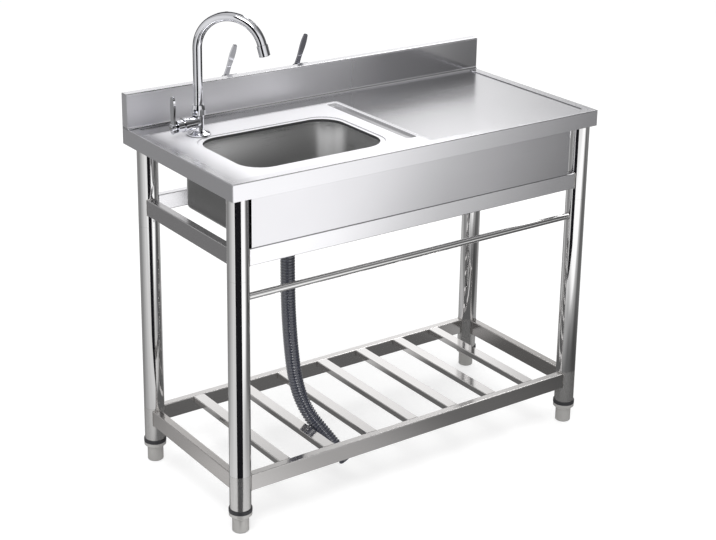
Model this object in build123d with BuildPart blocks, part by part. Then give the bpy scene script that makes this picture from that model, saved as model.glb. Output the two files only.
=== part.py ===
from build123d import *
import math
import os

# Free-standing kitchen sink unit in sheet steel, modelled piece by piece.
#
# Millimetres, +Z up, floor at z = 0. The origin is the centre of the footprint on the floor.
# +X runs along the worktop towards the drainer, +Y runs back to the splashback.

os.makedirs("parts", exist_ok=True)

# ------------------------------------------------------------------ overall sizes
unit_width = 1050.0
unit_depth = 500.0          # front skirt to the back of the splashback
deck_height = 850.0         # floor to the raised border of the worktop
rear_reach = 46.0           # how far the stop valves stand behind the splashback

# ------------------------------------------------------------------ clearances
weld_gap = 0.05             # between curved faces that are welded, glued or screwed together
running_gap = 0.05          # radial, for what turns or slides
soft_gap = 0.3              # between curved faces that only pass each other
seam_gap = 0.2              # open joint line between two leg tubes

# ------------------------------------------------------------------ worktop sheet
sheet = 1.2
skirt_height = 40.0
hem_height = 10.0
splash_height = 85.0
splash_thickness = 25.0
edge_radius = 2.0
splash_edge_radius = 3.0
cove_radius = 8.0
border_width = 25.0         # raised border along the front and both ends
field_drop = 2.0            # how far the field lies below the border
field_corner = 12.0
bead_gap = 2.0              # from the tray to the pressed bead round the sink end of the deck
bead_width = 3.0
bead_height = 0.8
bead_corner = 10.0

# ------------------------------------------------------------------ bowl
opening_width = 378.0
opening_depth = 256.0
opening_corner = 62.0
opening_from_left = 90.0
opening_from_front = 71.0
ledge_width = 9.0
ledge_corner = 62.0
ledge_drop = 2.5
lip_drop = 8.0
bowl_sheet = 1.0
bowl_margin = 12.0          # outside of the bowl beyond the opening at the front, back and right
bowl_left_margin = 24.0
bowl_corner = 32.0
bowl_bottom_radius = 12.0
bowl_drop = 158.0
seat_margin = 4.0           # sunk seat round the flange of the waste
seat_drop = 3.0

# ------------------------------------------------------------------ soap tray
tray_width = 34.0
tray_length = 342.0
tray_corner = 10.0
tray_drop = 6.0
tray_slope = 55.0           # of its sides, in degrees from upright
tray_from_opening = 46.0    # bowl opening to the near side of the tray
tray_from_front = 70.0

# ------------------------------------------------------------------ stiffeners under the deck
stiffener_count = 2
stiffener_width = 60.0
stiffener_height = 25.0
stiffener_flange = 15.0
stiffener_sheet = 1.2
stiffener_end_gap = 5.0     # to the apron in front and to the splashback

# ------------------------------------------------------------------ legs
leg_diameter = 50.0
leg_wall = 1.2
leg_inset = 5.0             # outside of the legs inside the front and end skirts
back_leg_inset = 38.0
upper_seam_drop = 70.0      # below the top of the upper rails
lower_seam_rise = 5.0       # above the top of the lower rails
socket_foot = 58.0          # lower end of the lower sockets
cap_thickness = 3.0
spigot_wall = 1.5
upper_spigot_half = 33.0
lower_spigot_half = 38.0
grub_diameter = 6.0
grub_length = 5.0
grub_rise = 16.0            # grub screws above each seam

# ------------------------------------------------------------------ rails, slats, rod and apron
rail_width = 20.0
rail_height = 40.0
rail_wall = 1.2
rail_corner = 2.0
rail_outset = 15.0          # outer rail face outside the leg axis
lower_rail_top = 140.0
slat_width = 30.0
slat_height = 15.0
slat_wall = 1.0
slat_corner = 1.5
slat_count = 7
rod_diameter = 16.0
rod_wall = 1.0
rod_drop = 117.0            # below the top of the upper rails
rod_entry = 6.0             # how far the rod ends stand inside the legs
apron_height = 156.8        # from the upper rails to the underside of the deck
apron_sheet = 1.0
apron_bend = 2.0
apron_flange = 15.0
apron_return = 10.0
apron_left_gap = 1.0        # to the left leg
apron_right_gap = 20.0      # to the right leg

# ------------------------------------------------------------------ levelling feet
foot_diameter = 39.0
foot_collar = 54.0
foot_collar_height = 8.0
foot_cone_height = 7.5
foot_chamfer = 1.5
insert_flange_diameter = 55.0
insert_flange_height = 8.0
insert_depth = 30.0
stud_diameter = 16.0
stud_length = 36.0

# ------------------------------------------------------------------ tap
tap_from_left = 124.0
tap_from_front = 358.0
tap_gasket_height = 1.5
tap_gasket_inset = 1.0
tap_flange_diameter = 54.0
tap_flange_rim = 2.8
tap_shoulder_diameter = 37.5
tap_shoulder_height = 5.6
tap_neck_height = 9.8       # where the flange runs out into the column
tap_column_wall = 1.5       # round the foot of the spout
tap_column_height = 54.0
tap_bore = 12.0
shank_diameter = 20.9
shank_length = 45.0
shank_hole_gap = 0.5
shank_groove_width = 2.5    # relief under the backnut
shank_groove_diameter = 19.0
backnut_across_flats = 27.0
backnut_height = 8.0
spout_nut_wall = 4.5        # round the column, at its corners
spout_nut_height = 25.0
spout_nut_flat_depth = 1.0  # how far its flats cut into its round
spout_nut_chamfer = 2.5
spout_nut_straight = 14.0   # height below its cone
spout_nut_rim = 2.5         # wall left at the top of the cone
spout_nut_overlap = 8.0     # on the column
spout_diameter = 22.0
spout_wall = 1.5
spout_entry = 14.0          # spout inside the column
spout_bend_start = 207.0    # above the deck
spout_bend_radius = 80.0
spout_bend_angle = 165.0
spout_end_run = 9.0
spout_heading = -52.0       # degrees from +X, negative to the front
aerator_wall = 2.0          # round the end of the spout
aerator_length = 26.0
aerator_overlap = 8.0
aerator_outlet = 17.0
aerator_chamfer = 1.0
branch_heading = 188.0      # degrees from +X
branch_rise = 31.5          # above the deck
branch_diameter = 31.0
branch_root_diameter = 24.0
branch_root_length = 12.0
branch_reach = 40.0
branch_bore = 20.0
branch_bore_depth = 8.5
bonnet_plug_length = 7.5    # inside the branch
bonnet_ring_diameter = 34.0
bonnet_ring_length = 7.0
bonnet_diameter = 29.0
bonnet_length = 19.0
spindle_diameter = 10.0
spindle_length = 12.0
hub_diameter = 18.0
hub_length = 13.0
hub_chamfer = 1.5
blade_length = 73.0
blade_foot = 17.0           # how far the tap lever reaches below its axis
blade_width = 14.0
blade_neck = 11.0
blade_tip = 10.0
blade_thickness = 5.5
blade_neck_share = 0.3      # of the blade's length, where it is narrowest
blade_swell_share = 0.65    # where it is wide again
blade_tip_lean = 0.2        # sideways run of its outline at the tip, per run along it
lever_screw_diameter = 4.0
lever_screw_length = 14.0
lever_screw_hole = 15.0
lever_screw_head = 8.0
lever_screw_head_height = 2.5

# ------------------------------------------------------------------ stop valves behind the splashback
valve_from_left = (303.0, 511.0)
valve_drop = 22.0           # below the top of the splashback
valve_plate_width = 26.0
valve_plate_height = 44.0
valve_plate_thickness = 3.0
valve_plate_corner = 3.0
valve_body_diameter = 24.0
valve_shoulder_diameter = 25.0
valve_shoulder_reach = 13.0
valve_thread_diameter = 20.9
valve_inlet_reach = 42.0
valve_outlet_reach = 32.0
valve_bore = 13.0
valve_hub_diameter = 20.0
valve_hub_length = 14.0
valve_blade_length = 90.0
valve_blade_foot = 9.0
valve_lean = 20.0
valve_screw_pitch = 34.0
valve_screw_diameter = 4.0
valve_screw_head = 7.0
valve_screw_head_height = 2.2
valve_screw_length = 10.0

# ------------------------------------------------------------------ waste and drain hose
waste_flange_width = 13.0   # beyond the cup
waste_flange_height = 2.0
waste_flange_flat = 4.0     # flat top of the flange outside the cup
waste_cup_diameter = 84.0
waste_cup_straight = 24.0   # height of its straight wall; below it a cone at 45 degrees leads to the tail
waste_wall = 2.0
waste_tail_diameter = 40.0
waste_tail_bore = 28.0
waste_from_bowl_middle = (-3.0, 5.0)
waste_tail_length = 34.0
waste_gasket_height = 3.0
waste_nut_width = 12.0      # beyond the cup
waste_nut_height = 9.0
waste_nut_lugs = 6
waste_nut_lug_width = 12.0
waste_nut_lug_length = 10.0
waste_nut_lug_reach = 4.0   # lugs beyond the ring of the nut
strainer_play = 2.0         # between the basket and the inside of the cup
strainer_rim_width = 6.0
strainer_height = 24.0
strainer_wall = 1.2
strainer_hole = 5.0
strainer_rings = 3          # rings of holes in its floor
strainer_ring_start = 12.0
strainer_ring_pitch = 9.0
strainer_ring_holes = 6     # in the first ring, and as many more in each further one
strainer_post = 6.0
strainer_knob = 18.0
strainer_knob_height = 6.0
hose_nut_diameter = 54.0
hose_nut_overlap = 14.0     # on the tail
hose_nut_chamfer = 2.5
hose_nut_grooves = 12
hose_nut_groove = 3.0
hose_entry = 12.0           # hose inside its nut

hose_diameter = 36.0
hose_root_diameter = 32.0
hose_bore = 27.0
hose_rib_pitch = 7.3
hose_rib_flank = 1.0        # length of each slope of a rib
hose_rib_land = 3.0         # length of a rib at full diameter
hose_bend_share = 0.45      # share of the shorter run that each bend takes

# The hose hangs from the waste: steps from the waste axis, and heights above the floor.
hose_steps = (
    (0.0, 0.0, 478.0),
    (4.0, -5.0, 352.0),
    (14.0, -13.0, 236.0),
    (32.0, -36.0, 164.0),
    (54.0, -86.0, 117.0),
    (72.0, -148.0, 73.0),
)

# ------------------------------------------------------------------ places worked out from the sizes
left_x = -unit_width / 2
right_x = unit_width / 2
front_y = -(unit_depth + rear_reach) / 2
back_y = front_y + unit_depth
splash_y = back_y - splash_thickness
middle_y = (front_y + back_y) / 2
splash_top = deck_height + splash_height
skirt_bottom = deck_height - skirt_height
field_z = deck_height - field_drop
under_deck = field_z - sheet

opening_x = left_x + opening_from_left + opening_width / 2
opening_y = front_y + opening_from_front + opening_depth / 2
bowl_width = opening_width + bowl_margin + bowl_left_margin
bowl_length = opening_depth + 2 * bowl_margin
bowl_x = opening_x - (bowl_left_margin - bowl_margin) / 2
bowl_y = opening_y
bowl_bottom = under_deck - bowl_drop
tray_x = opening_x + opening_width / 2 + tray_from_opening + tray_width / 2
tray_y = front_y + tray_from_front + tray_length / 2
drainer_start = tray_x + tray_width / 2

leg_radius = leg_diameter / 2
leg_bore_radius = leg_radius - leg_wall
left_leg_x = left_x + leg_inset + leg_radius
right_leg_x = right_x - leg_inset - leg_radius
front_leg_y = front_y + leg_inset + leg_radius
back_leg_y = back_y - back_leg_inset - leg_radius
leg_places = {
    "front_left": (left_leg_x, front_leg_y),
    "front_right": (right_leg_x, front_leg_y),
    "back_left": (left_leg_x, back_leg_y),
    "back_right": (right_leg_x, back_leg_y),
}
rail_shift = rail_outset - rail_width / 2       # rail centre line outside the leg axis
slat_start_y = front_leg_y - rail_outset + rail_width
slat_end_y = back_leg_y + rail_outset - rail_width
slat_pitch = (right_leg_x - left_leg_x) / (slat_count + 1)
upper_rail_top = under_deck - apron_height
upper_seam = upper_rail_top - upper_seam_drop
lower_seam = lower_rail_top + lower_seam_rise
rod_height = upper_rail_top - rod_drop
cap_bottom = under_deck - cap_thickness
insert_bottom = socket_foot - insert_flange_height
foot_top = insert_bottom - soft_gap

tap_column_diameter = spout_diameter + 2 * tap_column_wall
spout_nut_diameter = tap_column_diameter + 2 * spout_nut_wall
aerator_diameter = spout_diameter + 2 * aerator_wall
tap_x = left_x + tap_from_left
tap_y = front_y + tap_from_front
tap_z = field_z + tap_gasket_height
spout_nut_z = tap_column_height - spout_nut_overlap
hub_start = branch_reach + bonnet_ring_length + bonnet_length + soft_gap

valve_height = splash_top - valve_drop
valve_hub_start = rear_reach - valve_hub_length

waste_cup_height = waste_cup_straight + (waste_cup_diameter - waste_tail_diameter) / 2
waste_flange_diameter = waste_cup_diameter + 2 * waste_flange_width
waste_nut_diameter = waste_cup_diameter + 2 * waste_nut_width
strainer_diameter = waste_cup_diameter - 2 * waste_wall - 2 * strainer_play
strainer_rim_diameter = strainer_diameter + 2 * strainer_rim_width
seat_diameter = waste_flange_diameter + 2 * seat_margin
waste_x = bowl_x + waste_from_bowl_middle[0]
waste_y = bowl_y + waste_from_bowl_middle[1]
seat_z = bowl_bottom + bowl_sheet - seat_drop   # top of the sunk seat
waste_cup_z = seat_z - waste_cup_height
tail_end_z = waste_cup_z - waste_tail_length
flange_top_z = seat_z + waste_flange_height


def save(piece, name):
    """Label a finished piece and write it to a file of its own."""
    piece.part.label = name
    export_step(piece.part, f"parts/{name}.step")


def upright(x, y, z=0.0):
    """A plane whose normal points up, at a place."""
    return Plane(origin=(x, y, z), x_dir=(1, 0, 0), z_dir=(0, 0, 1))


def level(x, y, z, heading):
    """A plane whose normal is level, at a heading from +X, and whose own y axis points up."""
    normal = Vector(1, 0, 0).rotate(Axis.Z, heading)
    return Plane(origin=(x, y, z), x_dir=Vector(0, 0, 1).cross(normal), z_dir=normal)


def turn(plane, outline):
    """Revolve a closed outline of (radius, distance along the normal) about a plane's normal."""
    with BuildSketch(Plane(origin=plane.origin, x_dir=plane.x_dir, z_dir=-plane.y_dir)) as profile:
        with BuildLine():
            Polyline(*outline, close=True)
        make_face()
    revolve(profile.sketch, axis=Axis(plane.origin, plane.z_dir))


def ring(inner, outer, low, high):
    """Outline of a plain ring or tube for turn()."""
    return [(inner, low), (outer, low), (outer, high), (inner, high)]


def cope_to_legs():
    """Take the four leg tubes out of the piece being built."""
    with Locations(*[(x, y, deck_height / 2) for x, y in leg_places.values()]):
        Cylinder(leg_radius + weld_gap, deck_height, mode=Mode.SUBTRACT)


# ================================================================== worktop and bowl
def make_worktop():
    """One folded sheet with a raised border, splashback box, tray, ledge and openings."""
    field_width = unit_width - 2 * border_width
    field_depth = unit_depth - splash_thickness - border_width
    field_y = front_y + border_width + field_depth / 2
    splash_middle_y = back_y - splash_thickness / 2

    with BuildPart() as worktop:
        with BuildSketch(Plane.XY.offset(skirt_bottom)):
            with Locations((0, middle_y)):
                Rectangle(unit_width, unit_depth)
        extrude(amount=skirt_height)
        with BuildSketch(Plane.XY.offset(deck_height)):
            with Locations((0, splash_middle_y)):
                Rectangle(unit_width, splash_thickness)
        extrude(amount=splash_height)
        fillet(worktop.edges().filter_by(Axis.X).group_by(Axis.Z)[-1], splash_edge_radius)
        corners = worktop.edges().filter_by(Axis.Z).group_by(Axis.Y)[0]
        deck_edges = worktop.edges().filter_by_position(
            Axis.Z, deck_height - edge_radius / 2, deck_height + edge_radius / 2)
        front_edge = deck_edges.filter_by(Axis.X).sort_by(Axis.Y)[0]
        end_edges = deck_edges.filter_by(Axis.Y).sort_by(Axis.Y)[0:2]
        fillet(corners + [front_edge] + end_edges, edge_radius)

        # field sunk inside the border
        with BuildSketch(Plane.XY.offset(deck_height)):
            with Locations((0, field_y)):
                RectangleRounded(field_width, field_depth, field_corner)
        extrude(amount=-field_drop, mode=Mode.SUBTRACT)

        # hollow under the field, under the border and inside the splashback
        with BuildSketch(Plane.XY.offset(skirt_bottom)):
            with Locations((0, middle_y)):
                Rectangle(unit_width - 2 * sheet, unit_depth - 2 * sheet)
        extrude(amount=under_deck - skirt_bottom, mode=Mode.SUBTRACT)
        with BuildSketch(Plane.XY.offset(under_deck)):
            with Locations((0, middle_y)):
                Rectangle(unit_width - 2 * sheet, unit_depth - 2 * sheet)
            with Locations((0, field_y)):
                RectangleRounded(field_width + 2 * sheet, field_depth + 2 * sheet,
                                 field_corner + sheet, mode=Mode.SUBTRACT)
        extrude(amount=field_drop, mode=Mode.SUBTRACT)
        with BuildSketch(Plane.XY.offset(under_deck)):
            with Locations((0, splash_middle_y)):
                Rectangle(unit_width - 2 * sheet, splash_thickness - 2 * sheet)
        extrude(amount=splash_top - sheet - under_deck, mode=Mode.SUBTRACT)

        # cove where the deck turns up into the splashback
        with BuildSketch(Plane.YZ.offset(left_x)):
            with BuildLine():
                Polyline((splash_y - cove_radius, field_z), (splash_y + sheet / 2, field_z),
                         (splash_y + sheet / 2, field_z + cove_radius), (splash_y, field_z + cove_radius))
                CenterArc((splash_y - cove_radius, field_z + cove_radius), cove_radius, 0, -90)
            make_face()
        extrude(amount=unit_width)

        # folded hem inside the foot of the skirts
        with BuildSketch(Plane.XY.offset(skirt_bottom)):
            with Locations((0, middle_y)):
                Rectangle(unit_width - 2 * sheet, unit_depth - 2 * sheet)
                Rectangle(unit_width - 4 * sheet, unit_depth - 4 * sheet, mode=Mode.SUBTRACT)
        extrude(amount=hem_height)

        # pressed bead from the left border round the far corner of the tray to the front border
        bead_end_x = drainer_start + bead_gap + bead_width
        bead_end_y = tray_y + tray_length / 2 + bead_gap + bead_width
        bead_size = (bead_end_x - left_x, bead_end_y - front_y)
        with BuildSketch(Plane.XY.offset(field_z)):
            with Locations(((left_x + bead_end_x) / 2, (front_y + bead_end_y) / 2)):
                RectangleRounded(*bead_size, bead_corner + bead_width)
                RectangleRounded(bead_size[0] - 2 * bead_width, bead_size[1] - 2 * bead_width,
                                 bead_corner, mode=Mode.SUBTRACT)
            with Locations((0, field_y)):
                RectangleRounded(field_width, field_depth, field_corner, mode=Mode.INTERSECT)
        extrude(amount=bead_height)

        # pressed tray with sloping sides
        shell = sheet / math.cos(math.radians(tray_slope))
        with BuildSketch(Plane.XY.offset(field_z)):
            with Locations((tray_x, tray_y)):
                RectangleRounded(tray_width + 2 * shell, tray_length + 2 * shell, tray_corner + shell)
        extrude(amount=-tray_drop - sheet, taper=tray_slope)
        with BuildSketch(Plane.XY.offset(field_z)):
            with Locations((tray_x, tray_y)):
                RectangleRounded(tray_width, tray_length, tray_corner)
        extrude(amount=-tray_drop, taper=tray_slope, mode=Mode.SUBTRACT)

        # pressed ledge round the bowl opening, its turned-down lip and the opening itself
        ledge_x = opening_width + 2 * ledge_width
        ledge_y = opening_depth + 2 * ledge_width
        ledge_z = field_z - ledge_drop
        with BuildSketch(Plane.XY.offset(field_z)):
            with Locations((opening_x, opening_y)):
                RectangleRounded(ledge_x + 2 * sheet, ledge_y + 2 * sheet, ledge_corner + sheet)
        extrude(amount=-ledge_drop - sheet)
        with BuildSketch(Plane.XY.offset(field_z)):
            with Locations((opening_x, opening_y)):
                RectangleRounded(ledge_x, ledge_y, ledge_corner)
        extrude(amount=-ledge_drop, mode=Mode.SUBTRACT)
        with BuildSketch(Plane.XY.offset(ledge_z)):
            with Locations((opening_x, opening_y)):
                RectangleRounded(opening_width + 2 * sheet, opening_depth + 2 * sheet,
                                 opening_corner + sheet)
        extrude(amount=-lip_drop)
        with BuildSketch(Plane.XY.offset(ledge_z)):
            with Locations((opening_x, opening_y)):
                RectangleRounded(opening_width, opening_depth, opening_corner)
        extrude(amount=-lip_drop, mode=Mode.SUBTRACT)

        # tap hole and the screw holes of the stop valves
        with Locations((tap_x, tap_y, field_z)):
            Cylinder(shank_diameter / 2 + shank_hole_gap, 4 * sheet, mode=Mode.SUBTRACT)
        for from_left in valve_from_left:
            for side in (-1, 1):
                with Locations(level(left_x + from_left, back_y,
                                     valve_height + side * valve_screw_pitch / 2, 90)):
                    Cylinder(valve_screw_diameter / 2 + weld_gap, 4 * sheet, mode=Mode.SUBTRACT)
    save(worktop, "worktop")


def make_stiffeners():
    """Hat channels under the drainer half of the deck, evenly spaced."""
    start_y = front_leg_y - rail_outset + apron_flange + stiffener_end_gap
    length = splash_y - stiffener_end_gap - start_y
    spacing = (right_x - drainer_start) / (stiffener_count + 1)
    with BuildPart() as stiffeners:
        for i in range(stiffener_count):
            place = drainer_start + spacing * (i + 1)
            with BuildSketch(Plane.XZ.offset(-start_y)):
                with Locations((place, under_deck - stiffener_sheet / 2)):
                    Rectangle(stiffener_width + 2 * stiffener_flange, stiffener_sheet)
                with Locations((place, under_deck - stiffener_height / 2)):
                    Rectangle(stiffener_width, stiffener_height)
                with Locations((place, under_deck - (stiffener_height - stiffener_sheet) / 2)):
                    Rectangle(stiffener_width - 2 * stiffener_sheet, stiffener_height - stiffener_sheet,
                              mode=Mode.SUBTRACT)
            extrude(amount=-length)
    save(stiffeners, "deck_stiffeners")


def make_bowl():
    """Box bowl with rounded corners, welded by its top edge to the underside of the deck."""
    with BuildPart() as bowl:
        with BuildSketch(Plane.XY.offset(under_deck)):
            with Locations((bowl_x, bowl_y)):
                RectangleRounded(bowl_width, bowl_length, bowl_corner)
        extrude(amount=-bowl_drop)
        fillet(bowl.faces().sort_by(Axis.Z)[0].edges(), bowl_bottom_radius)
        offset(amount=-bowl_sheet, openings=bowl.faces().sort_by(Axis.Z)[-1])
        # sunk seat and hole for the waste
        seat = upright(waste_x, waste_y, seat_z)
        turn(seat, ring(0, seat_diameter / 2 + bowl_sheet, -bowl_sheet, seat_drop))
        with Locations(seat):
            Cylinder(seat_diameter / 2, seat_drop, align=(Align.CENTER, Align.CENTER, Align.MIN),
                     mode=Mode.SUBTRACT)
            Cylinder(waste_cup_diameter / 2 + soft_gap, 4 * seat_drop, mode=Mode.SUBTRACT)
    save(bowl, "bowl")


# ================================================================== frame
def make_rail(name, plane, centre, length):
    """Box rail along a plane's normal, its ends shaped to the legs."""
    with BuildPart() as rail:
        with BuildSketch(plane):
            with Locations(centre):
                RectangleRounded(rail_width, rail_height, rail_corner)
                RectangleRounded(rail_width - 2 * rail_wall, rail_height - 2 * rail_wall,
                                 rail_corner - rail_wall, mode=Mode.SUBTRACT)
        extrude(amount=length)
        cope_to_legs()
    save(rail, name)


def make_rails():
    """Upper and lower rings of four rails between the legs."""
    for ring_name, top in (("upper", upper_rail_top), ("lower", lower_rail_top)):
        z = top - rail_height / 2
        across = Plane.YZ.offset(left_leg_x)
        length = right_leg_x - left_leg_x
        make_rail(f"{ring_name}_rail_front", across, (front_leg_y - rail_shift, z), length)
        make_rail(f"{ring_name}_rail_back", across, (back_leg_y + rail_shift, z), length)
        along = Plane.XZ.offset(-front_leg_y)
        length = back_leg_y - front_leg_y
        make_rail(f"{ring_name}_rail_left", along, (left_leg_x - rail_shift, z), -length)
        make_rail(f"{ring_name}_rail_right", along, (right_leg_x + rail_shift, z), -length)


def make_slats():
    """Box slats of the shelf, flush with the tops of the lower rails."""
    for i in range(slat_count):
        place = slat_pitch * (i - (slat_count - 1) / 2)
        with BuildPart() as slat:
            with BuildSketch(Plane.XZ.offset(-slat_start_y)):
                with Locations((place, lower_rail_top - slat_height / 2)):
                    RectangleRounded(slat_width, slat_height, slat_corner)
                    RectangleRounded(slat_width - 2 * slat_wall, slat_height - 2 * slat_wall,
                                     slat_corner - slat_wall, mode=Mode.SUBTRACT)
            extrude(amount=slat_start_y - slat_end_y)
        save(slat, f"shelf_slat_{i + 1}")


def grub_planes(height):
    """Where the grub screws stand: on the side of each leg that faces the middle of the unit."""
    for x, y in leg_places.values():
        heading = 90 if y < middle_y else -90
        yield level(x, y, height, heading)


def cut_grub_holes(height):
    """Screw holes through one wall of each tube at the grub screws."""
    for plane in grub_planes(height):
        with Locations(plane):
            Cylinder(grub_diameter / 2 + weld_gap, leg_radius, mode=Mode.SUBTRACT,
                     align=(Align.CENTER, Align.CENTER, Align.MIN))


def make_leg_tubes():
    """Upper socket, leg tube and lower socket of each corner."""
    tubes = {
        "upper_socket": (upper_seam + seam_gap / 2, cap_bottom),
        "leg_tube": (lower_seam + seam_gap / 2, upper_seam - seam_gap / 2),
        "lower_socket": (socket_foot, lower_seam - seam_gap / 2),
    }
    for kind, (low, high) in tubes.items():
        for corner, (x, y) in leg_places.items():
            with BuildPart() as tube:
                turn(upright(x, y), ring(leg_bore_radius, leg_radius, low, high))
                cut_grub_holes(upper_seam + grub_rise)
                cut_grub_holes(lower_seam + grub_rise)
                with Locations(Plane.YZ):
                    with Locations((front_leg_y, rod_height, 0)):
                        Cylinder(rod_diameter / 2 + weld_gap, right_leg_x - left_leg_x, mode=Mode.SUBTRACT)
            save(tube, f"{kind}_{corner}")


def make_spigots():
    """Inner sleeves that join the leg tubes at both seams."""
    outer = leg_bore_radius - 2 * weld_gap
    with BuildPart() as spigots:
        for seam, half in ((upper_seam, upper_spigot_half), (lower_seam, lower_spigot_half)):
            for x, y in leg_places.values():
                turn(upright(x, y), ring(outer - spigot_wall, outer, seam - half, seam + half))
            cut_grub_holes(seam + grub_rise)
    save(spigots, "leg_spigots")


def make_grub_screws():
    """Screws that hold the tubes on the sleeves, flush with the outside."""
    with BuildPart() as screws:
        for seam in (upper_seam, lower_seam):
            for plane in grub_planes(seam + grub_rise):
                turn(plane, ring(0, grub_diameter / 2, leg_radius - grub_length, leg_radius))
    save(screws, "grub_screws")


def make_socket_caps():
    """Discs welded on the upper sockets, on which the deck rests."""
    with BuildPart() as caps:
        for x, y in leg_places.values():
            turn(upright(x, y), ring(0, leg_radius, cap_bottom, under_deck))
    save(caps, "socket_caps")


def make_rod():
    """Towel rod through the inner walls of the two front legs."""
    length = right_leg_x - left_leg_x - 2 * leg_bore_radius + 2 * rod_entry
    with BuildPart() as rod:
        turn(level(-length / 2, front_leg_y, rod_height, 0),
             ring(rod_diameter / 2 - rod_wall, rod_diameter / 2, 0, length))
    save(rod, "towel_rod")


def make_apron():
    """Folded front panel between the deck and the upper front rail."""
    start_x = left_leg_x + leg_radius + apron_left_gap
    end_x = right_leg_x - leg_radius - apron_right_gap
    face_y = front_leg_y - rail_outset
    height = under_deck - upper_rail_top
    with BuildPart() as apron:
        with BuildSketch(Plane.YZ.offset(start_x)) as profile:
            with BuildLine():
                Polyline((face_y, upper_rail_top), (face_y + apron_flange, upper_rail_top),
                         (face_y + apron_flange, upper_rail_top + apron_sheet),
                         (face_y + apron_sheet, upper_rail_top + apron_sheet),
                         (face_y + apron_sheet, under_deck - apron_sheet),
                         (face_y + apron_flange, under_deck - apron_sheet),
                         (face_y + apron_flange, under_deck), (face_y, under_deck), close=True)
            make_face()
            fillet(profile.vertices().group_by(Axis.X)[0], apron_bend)
            fillet(profile.vertices().group_by(Axis.X)[1], apron_bend - apron_sheet)
        extrude(amount=end_x - start_x)
        for x in (start_x, end_x - apron_sheet):
            with BuildSketch(Plane.YZ.offset(x)) as end:
                with Locations((face_y + apron_return / 2, upper_rail_top + height / 2)):
                    Rectangle(apron_return, height)
                fillet(end.vertices().group_by(Axis.X)[0], apron_bend)
            extrude(amount=apron_sheet)
    save(apron, "front_apron")


def make_feet():
    """Threaded inserts in the lower sockets and the levelling feet on their studs."""
    stud_radius = stud_diameter / 2
    insert_radius = leg_bore_radius - weld_gap
    collar_bottom = foot_top - foot_collar_height
    with BuildPart() as inserts:
        for x, y in leg_places.values():
            turn(upright(x, y), [
                (stud_radius + running_gap, insert_bottom), (insert_flange_diameter / 2, insert_bottom),
                (insert_flange_diameter / 2, socket_foot), (insert_radius, socket_foot),
                (insert_radius, socket_foot + insert_depth),
                (stud_radius + running_gap, socket_foot + insert_depth)])
    save(inserts, "foot_inserts")
    for corner, (x, y) in leg_places.items():
        with BuildPart() as foot:
            turn(upright(x, y), [
                (0, 0), (foot_diameter / 2 - foot_chamfer, 0), (foot_diameter / 2, foot_chamfer),
                (foot_diameter / 2, collar_bottom - foot_cone_height), (foot_collar / 2, collar_bottom),
                (foot_collar / 2, foot_top), (stud_radius, foot_top),
                (stud_radius, foot_top + stud_length), (0, foot_top + stud_length)])
        save(foot, f"levelling_foot_{corner}")


# ================================================================== tap
def make_tap_body():
    """Flange, column, side branch and threaded shank in one casting."""
    column = tap_column_diameter / 2
    socket = spout_diameter / 2 + running_gap
    socket_floor = tap_column_height - spout_entry
    flange = tap_flange_diameter / 2
    shank = shank_diameter / 2
    groove = shank_groove_diameter / 2
    groove_top = under_deck - backnut_height - tap_z
    branch_z = field_z + branch_rise
    with BuildPart() as body:
        turn(upright(tap_x, tap_y, tap_z), [
            (0, -shank_length), (shank, -shank_length), (shank, groove_top - shank_groove_width),
            (groove, groove_top - shank_groove_width), (groove, groove_top), (shank, groove_top),
            (shank, 0), (flange, 0),
            (flange, tap_flange_rim), (tap_shoulder_diameter / 2, tap_shoulder_height),
            (column, tap_neck_height), (column, tap_column_height), (0, tap_column_height)])
        turn(level(tap_x, tap_y, branch_z, branch_heading), [
            (0, 0), (branch_root_diameter / 2, 0), (branch_diameter / 2, branch_root_length),
            (branch_diameter / 2, branch_reach), (0, branch_reach)])
        with Locations(upright(tap_x, tap_y, tap_z)):
            with Locations((0, 0, -shank_length)):
                Cylinder(tap_bore / 2, shank_length + socket_floor, mode=Mode.SUBTRACT,
                         align=(Align.CENTER, Align.CENTER, Align.MIN))
            with Locations((0, 0, socket_floor)):
                Cylinder(socket, spout_entry, mode=Mode.SUBTRACT,
                         align=(Align.CENTER, Align.CENTER, Align.MIN))
        with Locations(level(tap_x, tap_y, branch_z, branch_heading)):
            with Locations((0, 0, branch_reach)):
                Cylinder(branch_bore / 2, branch_bore_depth, mode=Mode.SUBTRACT,
                         align=(Align.CENTER, Align.CENTER, Align.MAX))
    save(body, "tap_body")


def make_tap_fixings():
    """Gasket above the deck and hexagonal nut below it."""
    shank = shank_diameter / 2 + weld_gap
    with BuildPart() as gasket:
        turn(upright(tap_x, tap_y, field_z),
             ring(shank, tap_flange_diameter / 2 - tap_gasket_inset, 0, tap_gasket_height))
    save(gasket, "tap_gasket")
    with BuildPart() as backnut:
        with BuildSketch(upright(tap_x, tap_y, under_deck)):
            RegularPolygon(backnut_across_flats / 2, 6, major_radius=False)
            Circle(shank, mode=Mode.SUBTRACT)
        extrude(amount=-backnut_height)
    save(backnut, "tap_backnut")


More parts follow.
